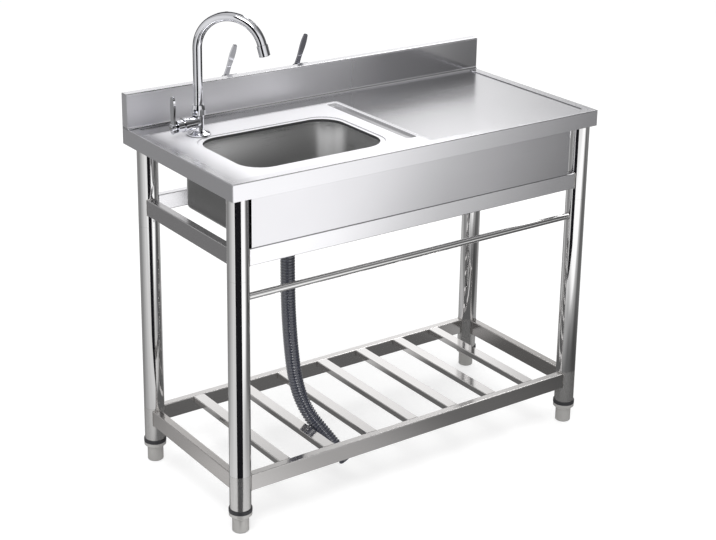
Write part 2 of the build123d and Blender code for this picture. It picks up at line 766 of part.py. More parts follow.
def make_spout():
    """Swan-neck tube, the nut that holds it in the column, and the aerator at its end."""
    radius = spout_diameter / 2
    nut_radius = spout_nut_diameter / 2
    column = tap_column_diameter / 2 + weld_gap
    shoulder = tap_column_height + weld_gap
    nut_top = spout_nut_z + spout_nut_height
    with BuildPart() as nut:
        turn(upright(tap_x, tap_y, tap_z), [
            (column, spout_nut_z), (nut_radius - spout_nut_chamfer, spout_nut_z),
            (nut_radius, spout_nut_z + spout_nut_chamfer), (nut_radius, spout_nut_z + spout_nut_straight),
            (radius + spout_nut_rim, nut_top), (radius + running_gap, nut_top),
            (radius + running_gap, shoulder), (column, shoulder)])
        with BuildSketch(upright(tap_x, tap_y, tap_z + spout_nut_z)):
            RegularPolygon(nut_radius - spout_nut_flat_depth, 6, major_radius=False)
        extrude(amount=spout_nut_height, mode=Mode.INTERSECT)
    save(nut, "spout_nut")

    # The spout lies in an upright plane; its own x axis is the heading and its y axis points up.
    heading = Vector(1, 0, 0).rotate(Axis.Z, spout_heading)
    side = Plane(origin=(tap_x, tap_y, field_z), x_dir=heading, z_dir=heading.cross(Vector(0, 0, 1)))
    start = tap_z - field_z + tap_column_height - spout_entry
    with BuildPart() as spout:
        with BuildLine(side) as path:
            Line((0, start), (0, spout_bend_start))
            bend = CenterArc((spout_bend_radius, spout_bend_start), spout_bend_radius, 180, -spout_bend_angle)
            Line(bend @ 1, (bend @ 1) + (bend % 1) * spout_end_run)
        with BuildSketch(Plane(origin=path.line @ 0, x_dir=heading, z_dir=path.line % 0)):
            Circle(radius)
            Circle(radius - spout_wall, mode=Mode.SUBTRACT)
        sweep()
    save(spout, "tap_spout")

    end = path.line @ 1
    tip = Plane(origin=end, x_dir=side.z_dir, z_dir=path.line % 1)
    tip_end = aerator_length - aerator_overlap
    outer = aerator_diameter / 2
    with BuildPart() as aerator:
        turn(tip, [
            (radius + weld_gap, -aerator_overlap), (outer, -aerator_overlap),
            (outer, tip_end - aerator_chamfer), (outer - aerator_chamfer, tip_end),
            (aerator_outlet / 2, tip_end), (aerator_outlet / 2, 0), (radius + weld_gap, 0)])
    save(aerator, "tap_aerator")


def add_blade(plane, foot, length, lean):
    """Paddle of a lever on a plane: wide at the hub, narrow above it, wide again towards the tip."""
    wide = blade_width / 2
    neck = blade_neck / 2
    tip = blade_tip / 2
    neck_y = length * blade_neck_share
    swell_y = length * blade_swell_share
    across = plane.x_dir.rotate(Axis(plane.origin, plane.z_dir), lean)
    with BuildSketch(Plane(origin=plane.origin, x_dir=across, z_dir=plane.z_dir)) as blade:
        with BuildLine():
            right = Spline((wide, tip - foot), (wide, 0), (neck, neck_y), (wide, swell_y),
                           (tip, length - tip), tangents=((0, 1), (-blade_tip_lean, 1)))
            top = ThreePointArc(right @ 1, (0, length), (-tip, length - tip))
            left = Spline(top @ 1, (-wide, swell_y), (-neck, neck_y), (-wide, 0),
                          (-wide, tip - foot), tangents=((-blade_tip_lean, -1), (0, -1)))
            ThreePointArc(left @ 1, (0, -foot), right @ 0)
        make_face()
    extrude(blade.sketch, amount=blade_thickness)


def make_lever(name, plane, hub_radius, start, hub, foot, length, lean):
    """Hub with its spindle and paddle, on a plane whose normal points outward."""
    middle = start + hub / 2
    with BuildPart() as lever:
        turn(plane, [
            (0, start - spindle_length), (spindle_diameter / 2, start - spindle_length),
            (spindle_diameter / 2, start), (hub_radius - hub_chamfer, start),
            (hub_radius, start + hub_chamfer), (hub_radius, start + hub - hub_chamfer),
            (hub_radius - hub_chamfer, start + hub), (0, start + hub)])
        add_blade(plane.offset(middle - blade_thickness / 2), foot, length, lean)
        with Locations(plane):
            with Locations((0, 0, start + hub)):
                Cylinder(lever_screw_diameter / 2 + weld_gap, lever_screw_hole, mode=Mode.SUBTRACT,
                         align=(Align.CENTER, Align.CENTER, Align.MAX))
    save(lever, name)


def make_tap_lever():
    """Bonnet on the branch, the lever that turns in it and the lever's screw."""
    plane = level(tap_x, tap_y, field_z + branch_rise, branch_heading)
    ring_end = branch_reach + bonnet_ring_length
    bonnet_end = ring_end + bonnet_length
    bore = spindle_diameter / 2 + running_gap
    plug = branch_bore / 2 - weld_gap
    plug_start = branch_reach - bonnet_plug_length
    with BuildPart() as bonnet:
        turn(plane, [
            (bore, plug_start), (plug, plug_start), (plug, branch_reach),
            (bonnet_ring_diameter / 2, branch_reach), (bonnet_ring_diameter / 2, ring_end),
            (bonnet_diameter / 2, ring_end), (bonnet_diameter / 2, bonnet_end), (bore, bonnet_end)])
    save(bonnet, "tap_bonnet")
    make_lever("tap_lever", plane, hub_diameter / 2, hub_start, hub_length, blade_foot, blade_length, 0)
    hub_end = hub_start + hub_length
    head_end = hub_end + lever_screw_head_height
    with BuildPart() as screw:
        turn(plane, ring(0, lever_screw_diameter / 2, hub_end - lever_screw_length, head_end))
        turn(plane, ring(0, lever_screw_head / 2, hub_end, head_end))
    save(screw, "tap_lever_screw")


# ================================================================== stop valves
def make_valves():
    """Two lever valves screwed to the back of the splashback."""
    body_end = valve_hub_start - soft_gap
    middle = (valve_plate_thickness + body_end) / 2
    thread = valve_thread_diameter / 2
    shoulder = valve_shoulder_diameter / 2
    for name, from_left, outlet_heading in zip(("left", "right"), valve_from_left, (180, 0)):
        plane = level(left_x + from_left, back_y, valve_height, 90)
        with BuildPart() as body:
            with BuildSketch(plane):
                RectangleRounded(valve_plate_width, valve_plate_height, valve_plate_corner)
                with GridLocations(0, valve_screw_pitch, 1, 2):
                    Circle(valve_screw_diameter / 2 + weld_gap, mode=Mode.SUBTRACT)
            extrude(amount=valve_plate_thickness)
            turn(plane, ring(0, valve_body_diameter / 2, 0, body_end))
            port_y = back_y + middle
            inlet = Plane(origin=(left_x + from_left, port_y, valve_height), x_dir=(1, 0, 0),
                          z_dir=(0, 0, -1))
            outlet = level(left_x + from_left, port_y, valve_height, outlet_heading)
            for port, reach in ((inlet, valve_inlet_reach), (outlet, valve_outlet_reach)):
                turn(port, [(0, 0), (shoulder, 0), (shoulder, valve_shoulder_reach),
                            (thread, valve_shoulder_reach), (thread, reach), (0, reach)])
            for port, reach in ((inlet, valve_inlet_reach), (outlet, valve_outlet_reach)):
                with Locations(port):
                    Cylinder(valve_bore / 2, reach, align=(Align.CENTER, Align.CENTER, Align.MIN),
                             mode=Mode.SUBTRACT)
            with Locations(plane):
                with Locations((0, 0, body_end)):
                    Cylinder(spindle_diameter / 2 + running_gap, spindle_length, mode=Mode.SUBTRACT,
                             align=(Align.CENTER, Align.CENTER, Align.MAX))
        save(body, f"stop_valve_{name}")
        make_lever(f"stop_valve_lever_{name}", plane, valve_hub_diameter / 2, valve_hub_start,
                   valve_hub_length, valve_blade_foot, valve_blade_length, valve_lean)

    with BuildPart() as screws:
        shank = valve_screw_diameter / 2
        head = valve_screw_head / 2
        for from_left in valve_from_left:
            for side in (-1, 1):
                plane = level(left_x + from_left, back_y + valve_plate_thickness,
                              valve_height + side * valve_screw_pitch / 2, 90)
                turn(plane, [(0, -valve_screw_length), (shank, -valve_screw_length), (shank, 0), (head, 0),
                             (head, valve_screw_head_height), (0, valve_screw_head_height)])
    save(screws, "valve_screws")


# ================================================================== waste and hose
def make_waste():
    """Flanged waste body, its gasket and lugged nut under the bowl, and the basket."""
    cup = waste_cup_diameter / 2
    tail = waste_tail_diameter / 2
    flange = waste_flange_diameter / 2
    under_seat = seat_z - bowl_sheet
    axis = upright(waste_x, waste_y)
    with BuildPart() as body:
        turn(axis, [
            (waste_tail_bore / 2, tail_end_z), (tail, tail_end_z), (tail, waste_cup_z),
            (cup, waste_cup_z + cup - tail), (cup, seat_z), (flange, seat_z),
            (flange, seat_z + waste_flange_height / 2), (cup + waste_flange_flat, flange_top_z),
            (cup - waste_wall, flange_top_z), (cup - waste_wall, waste_cup_z + cup - tail + waste_wall / 2),
            (waste_tail_bore / 2, waste_cup_z + waste_wall / 2)])
    save(body, "waste_body")

    with BuildPart() as gasket:
        turn(axis, ring(cup + weld_gap, flange, under_seat - waste_gasket_height, under_seat))
    save(gasket, "waste_gasket")

    nut_top = under_seat - waste_gasket_height
    with BuildPart() as nut:
        turn(axis, ring(cup + weld_gap, waste_nut_diameter / 2 - waste_nut_lug_reach,
                        nut_top - waste_nut_height, nut_top))
        with BuildSketch(upright(waste_x, waste_y, nut_top)):
            with PolarLocations((waste_nut_diameter - waste_nut_lug_length) / 2, waste_nut_lugs):
                Rectangle(waste_nut_lug_length, waste_nut_lug_width)
        extrude(amount=-waste_nut_height)
    save(nut, "waste_nut")

    basket = strainer_diameter / 2
    floor_z = flange_top_z + strainer_wall - strainer_height
    with BuildPart() as strainer:
        turn(axis, [
            (0, floor_z), (basket, floor_z), (basket, flange_top_z),
            (strainer_rim_diameter / 2, flange_top_z),
            (strainer_rim_diameter / 2, flange_top_z + strainer_wall),
            (basket - strainer_wall, flange_top_z + strainer_wall),
            (basket - strainer_wall, floor_z + strainer_wall), (0, floor_z + strainer_wall)])
        for i in range(strainer_rings):
            with BuildSketch(upright(waste_x, waste_y, floor_z)):
                with PolarLocations(strainer_ring_start + i * strainer_ring_pitch,
                                    strainer_ring_holes * (i + 1)):
                    Circle(strainer_hole / 2)
            extrude(amount=strainer_wall, mode=Mode.SUBTRACT)
        knob_z = flange_top_z - strainer_knob_height
        turn(axis, ring(0, strainer_post / 2, floor_z, flange_top_z))
        turn(axis, ring(0, strainer_knob / 2, knob_z, knob_z + strainer_knob_height))
    save(strainer, "waste_strainer")

    outer = hose_nut_diameter / 2
    nut_low = tail_end_z - hose_entry
    nut_high = tail_end_z + hose_nut_overlap
    with BuildPart() as hose_nut:
        turn(axis, [
            (hose_diameter / 2 + soft_gap, nut_low), (outer - hose_nut_chamfer, nut_low),
            (outer, nut_low + hose_nut_chamfer), (outer, nut_high), (tail + weld_gap, nut_high),
            (tail + weld_gap, tail_end_z), (hose_diameter / 2 + soft_gap, tail_end_z)])
        with BuildSketch(upright(waste_x, waste_y, nut_low)):
            with PolarLocations(outer, hose_nut_grooves):
                Circle(hose_nut_groove / 2)
        extrude(amount=nut_high - nut_low, mode=Mode.SUBTRACT)
    save(hose_nut, "hose_nut")


def bend_radii(points):
    """As large as the two runs at each point allow."""
    radii = []
    for before, here, after in zip(points, points[1:], points[2:]):
        half_turn = math.radians((here - before).get_angle(after - here)) / 2
        shorter = min((here - before).length, (after - here).length)
        radii.append(hose_bend_share * shorter / math.tan(half_turn))
    return radii


def make_hose():
    """Ribbed drain hose, open at both ends."""
    points = [Vector(waste_x, waste_y, tail_end_z)]
    points += [Vector(waste_x + x, waste_y + y, z) for x, y, z in hose_steps]
    radii = bend_radii(points)
    print("hose bend radii mm:", [round(radius) for radius in radii])
    with BuildPart() as hose:
        with BuildLine() as route:
            FilletPolyline(*points, radius=radii)
        path = route.wire()
        rib_count = int(path.length / hose_rib_pitch)
        pitch = path.length / rib_count
        root = hose_root_diameter / 2
        crest = hose_diameter / 2
        stations = []
        for i in range(rib_count):
            start = i * pitch
            stations += [(start, root), (start + hose_rib_flank, crest),
                         (start + hose_rib_flank + hose_rib_land, crest),
                         (start + 2 * hose_rib_flank + hose_rib_land, root)]
        stations.append((path.length, root))
        for distance, radius in stations:
            share = distance / path.length
            with BuildSketch(Plane(origin=path @ share, x_dir=(1, 0, 0), z_dir=path % share)):
                Circle(radius)
        loft(ruled=True, clean=False)
        with BuildSketch(Plane(origin=path @ 0, x_dir=(1, 0, 0), z_dir=path % 0)):
            Circle(hose_bore / 2)
        sweep(path=path, mode=Mode.SUBTRACT)
    land = hose_rib_land + hose_rib_flank
    wall = math.pi * ((crest ** 2 - root ** 2) * land / pitch + root ** 2 - (hose_bore / 2) ** 2)
    print("hose length mm:", round(path.length), "ribs:", rib_count)
    print("hose volume over wall times length:", round(hose.part.volume / (wall * path.length), 3))
    save(hose, "drain_hose")


make_worktop()
make_stiffeners()
make_bowl()
make_rails()
make_slats()
make_leg_tubes()
make_spigots()
make_grub_screws()
make_socket_caps()
make_rod()
make_apron()
make_feet()
make_tap_body()
make_tap_fixings()
make_spout()
make_tap_lever()
make_valves()
make_waste()
make_hose()
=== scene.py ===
import math

import bpy
from mathutils import Matrix, Vector


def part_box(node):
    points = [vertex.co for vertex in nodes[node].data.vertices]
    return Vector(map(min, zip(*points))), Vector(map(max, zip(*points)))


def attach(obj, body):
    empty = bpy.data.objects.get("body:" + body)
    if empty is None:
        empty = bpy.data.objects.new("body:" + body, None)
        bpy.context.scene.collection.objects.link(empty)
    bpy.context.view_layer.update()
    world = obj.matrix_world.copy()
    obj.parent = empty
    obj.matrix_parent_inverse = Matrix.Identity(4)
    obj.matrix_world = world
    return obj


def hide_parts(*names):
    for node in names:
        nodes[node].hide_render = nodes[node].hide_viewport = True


# Looks of the free-standing kitchen sink unit: camera, studio, drain hose, materials and fine detail.
# Metres, in the frame of the CAD model: +X towards the drainer end, +Y towards the splashback, +Z up.

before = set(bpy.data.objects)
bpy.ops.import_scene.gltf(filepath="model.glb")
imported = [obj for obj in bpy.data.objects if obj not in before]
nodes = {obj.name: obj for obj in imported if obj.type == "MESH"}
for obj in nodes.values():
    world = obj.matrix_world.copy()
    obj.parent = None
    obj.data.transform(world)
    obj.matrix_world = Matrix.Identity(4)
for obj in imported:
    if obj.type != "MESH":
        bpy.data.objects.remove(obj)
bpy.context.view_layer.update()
scene = bpy.context.scene
scene.view_settings.view_transform = "Standard"

# ---------------------------------------------------------------- camera
IMAGE_WIDTH = 716
IMAGE_HEIGHT = 540
FOCAL_PIXELS = 1602.0
CENTRE_PIXEL = (355.05, 156.57)      # where the camera's axis meets the picture, from its top left
CAMERA_PLACE = Vector((-2.164, -3.024, 1.954))
CAMERA_YAW = math.radians(35.4)      # turned from +Y towards +X
CAMERA_PITCH = math.radians(17.99)   # downwards
CAMERA_ROLL = math.radians(0.80)


def make_camera():
    """The photograph's camera: its place, its turn, its lens and its off-centre framing."""
    forward = Vector((math.sin(CAMERA_YAW) * math.cos(CAMERA_PITCH),
                      math.cos(CAMERA_YAW) * math.cos(CAMERA_PITCH), -math.sin(CAMERA_PITCH)))
    right = Vector((math.cos(CAMERA_YAW), -math.sin(CAMERA_YAW), 0))
    up = right.cross(forward)
    level_right = math.cos(CAMERA_ROLL) * right + math.sin(CAMERA_ROLL) * up
    level_up = math.cos(CAMERA_ROLL) * up - math.sin(CAMERA_ROLL) * right
    data = bpy.data.cameras.new("camera")
    data.sensor_width = 36
    data.lens = data.sensor_width * FOCAL_PIXELS / IMAGE_WIDTH
    data.shift_x = (IMAGE_WIDTH / 2 - CENTRE_PIXEL[0]) / IMAGE_WIDTH
    data.shift_y = (CENTRE_PIXEL[1] - IMAGE_HEIGHT / 2) / IMAGE_WIDTH
    data.clip_start = 0.05
    data.clip_end = 200
    camera = bpy.data.objects.new("camera", data)
    scene.collection.objects.link(camera)
    camera.matrix_world = Matrix((
        (level_right.x, level_up.x, -forward.x, CAMERA_PLACE.x),
        (level_right.y, level_up.y, -forward.y, CAMERA_PLACE.y),
        (level_right.z, level_up.z, -forward.z, CAMERA_PLACE.z),
        (0, 0, 0, 1)))
    scene.camera = camera


make_camera()


# ---------------------------------------------------------------- small helpers for node materials
def new_material(name):
    """A material with an empty node tree, and its tree."""
    material = bpy.data.materials.new(name)
    material.use_nodes = True
    material.node_tree.nodes.clear()
    return material, material.node_tree


def add(tree, kind, **settings):
    """A node of a kind, with its plain settings."""
    node = tree.nodes.new("ShaderNode" + kind)
    for key, value in settings.items():
        setattr(node, key, value)
    return node


def wire(tree, source, target):
    """A link from an output to an input."""
    tree.links.new(source, target)


def feed(tree, values, sockets):
    """Gives each input its number, or a link from its output."""
    for value, socket in zip(values, sockets):
        if isinstance(value, (int, float)):
            socket.default_value = value
        else:
            wire(tree, value, socket)


def maths(tree, operation, *values, clamp=False):
    """The output of a Math node; its inputs are numbers or outputs."""
    node = add(tree, "Math", operation=operation, use_clamp=clamp)
    feed(tree, values, node.inputs)
    return node.outputs[0]


def product(tree, *factors):
    """The product of numbers or outputs."""
    result = factors[0]
    for factor in factors[1:]:
        result = maths(tree, "MULTIPLY", result, factor)
    return result


def ramp(tree, value, stops):
    """The output of a grey ramp; stops are (position, grey)."""
    node = add(tree, "ValToRGB")
    elements = node.color_ramp.elements
    node.color_ramp.interpolation = "EASE"
    while len(elements) < len(stops):
        elements.new(0.5)
    for element, (position, shade) in zip(elements, stops):
        element.position = position
        element.color = (shade, shade, shade, 1)
    wire(tree, value, node.inputs[0])
    return node.outputs[0]


def spread(tree, value, low, high):
    """A value from 0 to 1, mapped to a range."""
    node = add(tree, "MapRange")
    node.inputs["To Min"].default_value = low
    node.inputs["To Max"].default_value = high
    wire(tree, value, node.inputs["Value"])
    return node.outputs[0]


def rise(tree, value, start, end, low=0.0, high=1.0):
    """A smooth step of a value: low up to start, high from end on."""
    node = add(tree, "MapRange", interpolation_type="SMOOTHSTEP")
    feed(tree, (value, start, end, low, high), node.inputs)
    return node.outputs[0]


def fall(tree, value, start, end):
    """A smooth step down of a value: 1 up to start, 0 from end on."""
    return rise(tree, value, start, end, 1, 0)


def blend(tree, share, first, second):
    """Between two numbers or outputs, by a share from 0 to 1."""
    node = add(tree, "Mix")
    feed(tree, (share, first, second), (node.inputs[0], node.inputs[2], node.inputs[3]))
    return node.outputs[0]


def noise(tree, scales, detail, size=1.0):
    """A noise in object coordinates, stretched by a scale for each axis."""
    place = add(tree, "TexCoord")
    mapping = add(tree, "Mapping")
    mapping.inputs["Scale"].default_value = scales
    wire(tree, place.outputs["Object"], mapping.inputs["Vector"])
    texture = add(tree, "TexNoise")
    texture.inputs["Scale"].default_value = size
    texture.inputs["Detail"].default_value = detail
    wire(tree, mapping.outputs[0], texture.inputs["Vector"])
    return texture.outputs["Fac"]


# ---------------------------------------------------------------- studio
# What metal sees on the walls and above them, as (degrees from +X towards +Y, brightness).
WALLS = ((-180, 0.80), (-150, 0.70), (-100, 0.90), (-66, 0.66), (-58, 0.60), (-54, 0.22), (-48, 0.07),
         (30, 0.14), (45, 0.40), (51, 0.98), (75, 0.95), (130, 0.60), (180, 0.80))
CORNICE = ((-180, 0.50), (-75, 0.50), (-50, 0.16), (95, 0.16), (135, 0.45), (180, 0.50))
CEILING = 0.60
WALL_END = (0.42, 0.54)          # the walls give way to the cornice between these sines of the angle upwards
CORNICE_END = (0.62, 0.86)       # and the cornice to the ceiling
PLAIN_SKY = 0.78                 # what dull surfaces see all round

# The painted glow that metal sees on the floor, as (metres, brightness), and beside the unit as (degrees,
# brightness).
LIT_FLOOR = ((-2.0, 0.70), (-0.9, 0.80), (-0.2, 1.0), (1.18, 1.0), (1.38, 0.58), (1.60, 0.38),
             (1.84, 0.36), (2.05, 0.22), (2.3, 0.12), (3.2, 0.12), (3.6, 0.25))
NEAR_FLOOR = ((-0.9, 0.60), (-0.5, 0.60), (-0.1, 0.34), (0.3, 0.12), (0.8, 0.06), (1.4, 0.12))
SIDE_FLOOR = ((-180, 0.50), (-60, 0.26), (50, 0.30), (78, 0.42), (100, 0.40), (112, 0.22),
              (145, 0.22), (160, 0.34), (180, 0.50))
SLANT_START = 2.1                # the lit floor's stops run along x at this distance in front, and shift
                                 # to the right by a metre for each metre further from the unit
NEAR_END = (0.60, 1.25)          # the near floor gives way to the lit floor between these distances in front
SIDE_END = (0.0, 0.28)           # and the side floor to the near floor
UNDER_END_X = (0.50, 0.62)       # the painted shadow under the unit ends between these, sideways
UNDER_END_Y = (0.20, 0.34)       # and to the front and back
# Painted shadow in the floor's glow under the unit.
PAINTED_UNDER_SHADOW = 0.10
FLOOR_GLOW = 1.2                 # strength of the floor's painted glow that metal sees
FLOOR_SHADE = 0.56               # colour and glow of the floor that the camera sees, white where it is lit
RAMP_REACH = 5.0                 # brightness along the floor is given up to here, both ways
FLOOR_REACH = 40.0
FLOOR_GAP = 0.0002               # the floor lies this far under the feet


def around(tree, place, stops):
    """A brightness by the angle round the vertical axis; stops are (degrees, brightness), -180 to 180."""
    angle = add(tree, "TexGradient", gradient_type="RADIAL")
    wire(tree, place, angle.inputs[0])
    return ramp(tree, angle.outputs["Fac"], [((degrees + 180) / 360, shade) for degrees, shade in stops])


def across(tree, value, stops):
    """A brightness by a place in metres; stops are (metres, brightness)."""
    share = maths(tree, "MULTIPLY_ADD", value, 0.5 / RAMP_REACH, 0.5)
    return ramp(tree, share, [((metres + RAMP_REACH) / (2 * RAMP_REACH), shade) for metres, shade in stops])


def make_world():
    """White to the camera; metal sees pale walls, dark ones at the right, and a dim cornice and ceiling."""
    world = bpy.data.worlds.new("studio")
    scene.world = world
    world.use_nodes = True
    tree = world.node_tree
    tree.nodes.clear()
    direction = add(tree, "TexCoord").outputs["Generated"]
    split = add(tree, "SeparateXYZ")
    wire(tree, direction, split.inputs[0])
    height = split.outputs["Z"]
    overhead = blend(tree, rise(tree, height, *CORNICE_END), around(tree, direction, CORNICE), CEILING)
    seen = blend(tree, rise(tree, height, *WALL_END), around(tree, direction, WALLS), overhead)
    rays = add(tree, "LightPath")
    glossy = blend(tree, rays.outputs["Is Glossy Ray"], PLAIN_SKY, seen)
    shade = blend(tree, rays.outputs["Is Camera Ray"], glossy, 1.0)
    background = add(tree, "Background")
    wire(tree, shade, background.inputs["Color"])
    output = add(tree, "OutputWorld")
    wire(tree, background.outputs[0], output.inputs[0])


def make_floor():
    """A white floor that keeps the unit's shadow; metal sees a painted glow on it, lit in front, dim beside
    it, and with a painted shadow under it.
    """
    mesh = bpy.data.meshes.new("floor")
    corners = [(FLOOR_REACH * x, FLOOR_REACH * y, 0) for x, y in ((-1, -1), (1, -1), (1, 1), (-1, 1))]
    mesh.from_pydata(corners, [], [(0, 1, 2, 3)])
    floor = bpy.data.objects.new("floor", mesh)
    floor.location.z = -FLOOR_GAP
    scene.collection.objects.link(floor)
    material, tree = new_material("floor_white")
    mesh.materials.append(material)
    rays = add(tree, "LightPath")
    place = add(tree, "TexCoord").outputs["Object"]
    split = add(tree, "SeparateXYZ")
    wire(tree, place, split.inputs[0])
    x = split.outputs["X"]
    forward = maths(tree, "MULTIPLY", split.outputs["Y"], -1)

    plain = add(tree, "BsdfDiffuse")
    plain.inputs["Color"].default_value = (FLOOR_SHADE, FLOOR_SHADE, FLOOR_SHADE, 1)
    white = add(tree, "Emission")
    white.inputs["Color"].default_value = (FLOOR_SHADE, FLOOR_SHADE, FLOOR_SHADE, 1)
    seen = add(tree, "AddShader")
    wire(tree, plain.outputs[0], seen.inputs[0])
    wire(tree, white.outputs[0], seen.inputs[1])

    slanted = maths(tree, "ADD", x, maths(tree, "SUBTRACT", SLANT_START, forward))
    near = across(tree, x, NEAR_FLOOR)
    front = blend(tree, rise(tree, forward, *NEAR_END), near, across(tree, slanted, LIT_FLOOR))
    open_floor = blend(tree, rise(tree, forward, *SIDE_END), around(tree, place, SIDE_FLOOR), front)
    # Painted shadow: the glow that metal sees is dimmed under the unit.
    outside = maths(tree, "MAXIMUM", rise(tree, maths(tree, "ABSOLUTE", x), *UNDER_END_X),
                    rise(tree, maths(tree, "ABSOLUTE", forward), *UNDER_END_Y))
    mirrored = add(tree, "Emission")
    mirrored.inputs["Strength"].default_value = FLOOR_GLOW
    wire(tree, blend(tree, outside, PAINTED_UNDER_SHADOW, open_floor), mirrored.inputs["Color"])
    shader = add(tree, "MixShader")
    wire(tree, rays.outputs["Is Glossy Ray"], shader.inputs[0])
    wire(tree, seen.outputs[0], shader.inputs[1])
    wire(tree, mirrored.outputs[0], shader.inputs[2])
    output = add(tree, "OutputMaterial")
    wire(tree, shader.outputs[0], output.inputs["Surface"])


LEG_CARD = ((-0.95, -0.50), (-0.463, -1.169))    # left and right foot of the card for the legs
LEG_CARD_FLAP = (-0.52, -0.27)                   # its flap on the floor reaches back to here
TAP_CARD = ((-1.25, -0.36), (-0.81, -0.83))      # left and right end of the card for the tap
LEG_CARD_TOP = 0.64                              # the card for the tap starts at this height
TAP_CARD_TOP = 1.70

# The hood of dark cards round the tap, in metres right of the tap and beyond it as the camera sees it.
# A side has its distance right, near edge, far edge and foot; the roof its left, right, near and far edge.
HOOD_SIDES = ((-0.06, 0.02, 0.11, 0.97), (0.06, 0.02, 0.11, 0.97), (0.20, 0.06, 0.20, 1.05))
HOOD_ROOF = (-0.06, 0.16, 0.02, 0.24)
HOOD_TOP = 1.27
CARD_BLACK = (0.01, 0.01, 0.012)


def hood_place(beside, beyond):
    """A place of the hood on the plan, from its distance right of the tap and beyond it."""
    low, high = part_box("tap_backnut")
    return ((low[0] + high[0]) / 2 + beside * math.cos(CAMERA_YAW) + beyond * math.sin(CAMERA_YAW),
            (low[1] + high[1]) / 2 - beside * math.sin(CAMERA_YAW) + beyond * math.cos(CAMERA_YAW))


def standing_card(left, right, low, high):
    """The corners of an upright card between two places on the plan."""
    return [(*left, low), (*right, low), (*right, high), (*left, high)]


def make_cards():
    """Dark cards seen only in metal, for the dark bands of the legs and the dark edges of the tap."""
    cards = [standing_card(*LEG_CARD, 0, LEG_CARD_TOP),
             [(*place, 0) for place in (*LEG_CARD, LEG_CARD_FLAP)],
             standing_card(*TAP_CARD, LEG_CARD_TOP, TAP_CARD_TOP)]
    for beside, near, far, foot in HOOD_SIDES:
        cards.append(standing_card(hood_place(beside, near), hood_place(beside, far), foot, HOOD_TOP))
    left, right, near, far = HOOD_ROOF
    cards.append([(*hood_place(beside, beyond), HOOD_TOP)
                  for beside, beyond in ((left, near), (right, near), (right, far), (left, far))])
    points = []
    faces = []
    for corners in cards:
        faces.append(tuple(range(len(points), len(points) + len(corners))))
        points += corners
    mesh = bpy.data.meshes.new("dark_card")
    mesh.from_pydata(points, [], faces)
    card = bpy.data.objects.new("dark_card", mesh)
    scene.collection.objects.link(card)
    card.visible_camera = False
    card.visible_diffuse = False
    card.visible_shadow = False
    card.visible_transmission = False
    material, tree = new_material("card_black")
    mesh.materials.append(material)
    dark = add(tree, "Emission")
    dark.inputs["Color"].default_value = (*CARD_BLACK, 1)
    output = add(tree, "OutputMaterial")
    wire(tree, dark.outputs[0], output.inputs["Surface"])


LAMP_SIZE = 1.6                  # edge of each square lamp
LAMP_TARGET = Vector((0, 0, 0.6))


def make_lamp(name, place, power):
    """A soft square lamp that looks at the unit."""
    data = bpy.data.lights.new(name, "AREA")
    data.size = LAMP_SIZE
    data.energy = power
    lamp = bpy.data.objects.new(name, data)
    lamp.location = place
    lamp.rotation_euler = (LAMP_TARGET - Vector(place)).to_track_quat("-Z", "Y").to_euler()
    scene.collection.objects.link(lamp)


make_world()
make_floor()
make_cards()
make_lamp("key", place=(-1.6, -1.6, 3.2), power=46)
make_lamp("fill", place=(2.2, 1.6, 3.0), power=26)


# ---------------------------------------------------------------- materials
FINE = 1600.0            # grain lines per metre, across
LONG = 4.0               # and along
GRAIN_DEPTH = 0.0001
EVEN = (1, 1, 1)         # a noise that isn't stretched
GAP_PAINTED_SHADE = 0.10         # painted shade: brightness left in the deepest gaps
GAP_MIDDLE = 0.45        # an openness, and the brightness left there


def finish_material(material, tree, shader, height, strength):
    """Joins the shader to the output, with a fine bump from a height."""
    bump = add(tree, "Bump")
    bump.inputs["Strength"].default_value = strength
    bump.inputs["Distance"].default_value = GRAIN_DEPTH
    wire(tree, height, bump.inputs["Height"])
    wire(tree, bump.outputs[0], shader.inputs["Normal"])
    output = add(tree, "OutputMaterial")
    wire(tree, shader.outputs[0], output.inputs["Surface"])
    return material


def multiply(tree, first, second):
    """The product of two colours; each is a colour or an output."""
    node = add(tree, "MixRGB", blend_type="MULTIPLY")
    node.inputs["Fac"].default_value = 1
    for socket, value in ((node.inputs["Color1"], first), (node.inputs["Color2"], second)):
        if isinstance(value, tuple):
            socket.default_value = (*value, 1)
        else:
            wire(tree, value, socket)
    return node.outputs[0]


def painted_crevice_shade(tree, colour, reach=0.006, fullest=0.80):
    """A colour with painted shade: darkened in narrow gaps and inner corners."""
    open_share = add(tree, "AmbientOcclusion", samples=8)
    open_share.inputs["Distance"].default_value = reach
    shade = ramp(tree, open_share.outputs["AO"], [(0.0, GAP_PAINTED_SHADE), (GAP_MIDDLE, GAP_MIDDLE), (fullest, 1.0)])
    return multiply(tree, colour, shade)


def metal(name, colour, rough_low, rough_high, grain, grain_bump, tint, smudge=0.04, metallic=1.0,
          reach=0.006):
    """Bare metal: a grain by its scales along x, y and z, a tint along it, smudges, and painted shade in
    crevices.
    """
    material, tree = new_material(name)
    shader = add(tree, "BsdfPrincipled")
    shader.inputs["Metallic"].default_value = metallic
    lines = noise(tree, grain, detail=4)
    clouds = noise(tree, EVEN, detail=3, size=7)
    tinted = multiply(tree, colour, spread(tree, lines, 1 - tint, 1))
    # Painted shade in narrow gaps and inner corners.
    wire(tree, painted_crevice_shade(tree, tinted, reach), shader.inputs["Base Color"])
    rough = maths(tree, "ADD", spread(tree, lines, rough_low, rough_high),
                  spread(tree, clouds, -smudge, smudge), clamp=True)
    wire(tree, rough, shader.inputs["Roughness"])
    return finish_material(material, tree, shader, lines, grain_bump)


